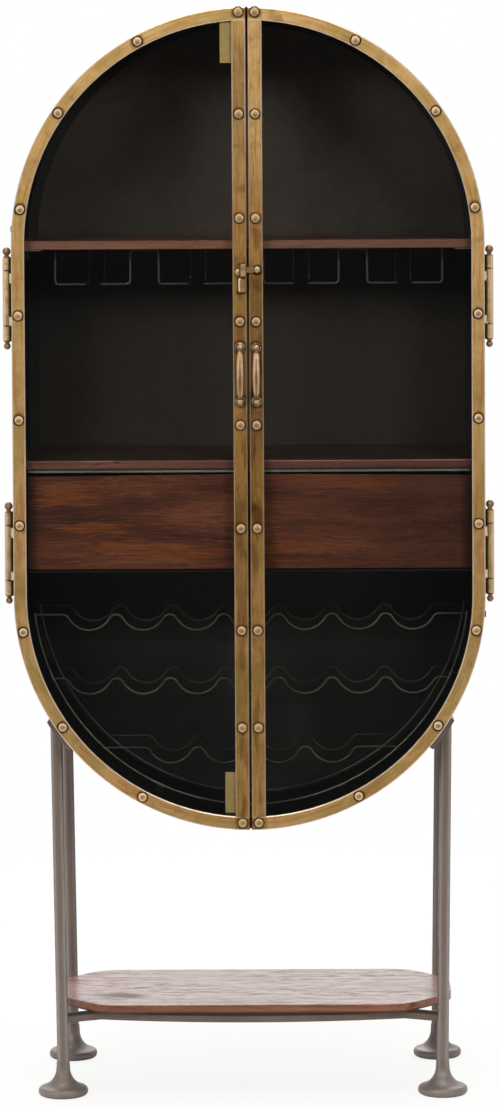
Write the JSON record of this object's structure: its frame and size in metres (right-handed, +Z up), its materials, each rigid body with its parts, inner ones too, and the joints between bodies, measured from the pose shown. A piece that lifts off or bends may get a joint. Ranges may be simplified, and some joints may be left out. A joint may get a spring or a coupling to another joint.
{
  "type": "bar cabinet",
  "caption": "Capsule-shaped display bar cabinet with two glazed hinged doors, shelves, glass hangers, drawers and a wave wine rack, on a four-leg stand with a lower shelf.",
  "frame": {"origin": "centre of the footprint, on the floor under the feet", "axes": "+Z up, the doors face -Y, +X to the right when facing the doors"},
  "size_m": [0.7802, 0.4003, 1.75],
  "materials": {
    "black_sheet": "satin black powder coat",
    "black_panel": "semi-gloss black",
    "dark_screw": "blackened steel",
    "catch_plastic": "matt",
    "shelf_wood": "stained and lacquered hardwood",
    "lower_shelf_wood": "stained and lacquered hardwood",
    "drawer_wood": "stained and lacquered hardwood",
    "drawer_box_wood": "oiled hardwood",
    "case_metal": "satin grey",
    "rack_wire": "satin grey",
    "stand_iron": "satin warm grey",
    "foot_iron": "satin warm grey paint over casting",
    "clear_glass": "clear",
    "aged_brass": "aged, brushed",
    "bright_brass": "polished, dark at the edge",
    "hinge_brass": "satin",
    "dull_brass": "dull"
  },
  "bodies": {
    "cabinet": {"back_panel": "black_panel", "body_bottom_arch": "black_sheet", "body_left_side": "black_sheet", "body_right_side": "black_sheet", "body_screws": "dark_screw", "body_top_arch": "black_sheet", "drawer_case_divider": "case_metal", "drawer_case_top": "case_metal", "drawer_case_tray": "case_metal", "feet_front": "foot_iron", "feet_rear": "foot_iron", "hinge_leaves": "hinge_brass", "hinge_pins": "hinge_brass", "leg_front_left": "stand_iron", "leg_front_right": "stand_iron", "leg_rear_left": "stand_iron", "leg_rear_right": "stand_iron", "lower_shelf": "lower_shelf_wood", "lower_shelf_fixings": "dark_screw", "magnet_catches": "catch_plastic", "middle_shelf": "shelf_wood", "saddle_left": "stand_iron", "saddle_right": "stand_iron", "stem_hanger_ends": "rack_wire", "stem_hanger_left": "rack_wire", "stem_hanger_middle": "rack_wire", "stem_hanger_right": "rack_wire", "stretcher_front": "stand_iron", "stretcher_rear": "stand_iron", "top_shelf": "shelf_wood", "top_shelf_cleats": "case_metal", "wine_arc_front": "rack_wire", "wine_arc_rear": "rack_wire", "wine_waves_front": "rack_wire", "wine_waves_rear": "rack_wire"},
    "left_door": {"left_door_face": "aged_brass", "left_door_glass": "clear_glass", "left_door_rim": "aged_brass", "left_door_screws": "bright_brass", "left_glass_retainer": "black_sheet", "left_handle": "aged_brass", "left_hinge_knuckles": "hinge_brass", "left_rivets": "bright_brass", "strike_plates": "dull_brass", "latch_keeper": "aged_brass"},
    "right_door": {"right_door_face": "aged_brass", "right_door_glass": "clear_glass", "right_door_rim": "aged_brass", "right_door_screws": "bright_brass", "right_glass_retainer": "black_sheet", "right_handle": "aged_brass", "right_hinge_knuckles": "hinge_brass", "right_rivets": "bright_brass"},
    "latch_hook": {"latch_hook": "aged_brass"},
    "left_drawer": {"left_drawer_bottom": "drawer_box_wood", "left_drawer_frame": "drawer_box_wood", "left_drawer_front": "drawer_wood"},
    "right_drawer": {"right_drawer_bottom": "drawer_box_wood", "right_drawer_frame": "drawer_box_wood", "right_drawer_front": "drawer_wood"}
  },
  "joints": [
    {"name": "left_door_hinge", "type": "hinge", "parent": "cabinet", "child": "left_door", "pos_m": [-0.3835, -0.15875, 1.089], "axis": [0, 0, -1], "range_deg": [0, 170]},
    {"name": "right_door_hinge", "type": "hinge", "parent": "cabinet", "child": "right_door", "pos_m": [0.3835, -0.15875, 1.089], "axis": [0, 0, 1], "range_deg": [0, 170]},
    {"name": "latch_pivot", "type": "hinge", "parent": "right_door", "child": "latch_hook", "pos_m": [0.015, -0.17975, 1.3335], "axis": [0, 1, 0], "range_deg": [0, 85]},
    {"name": "left_drawer_slide", "type": "slide", "parent": "cabinet", "child": "left_drawer", "axis": [0, -1, 0], "range_m": [0, 0.18]},
    {"name": "right_drawer_slide", "type": "slide", "parent": "cabinet", "child": "right_drawer", "axis": [0, -1, 0], "range_m": [0, 0.18]}
  ],
  "couplings": [
    {"joint": "left_drawer_slide", "follows": "left_door_hinge", "m_per_rad": 0.06},
    {"joint": "right_drawer_slide", "follows": "right_door_hinge", "m_per_rad": 0.06}
  ]
}
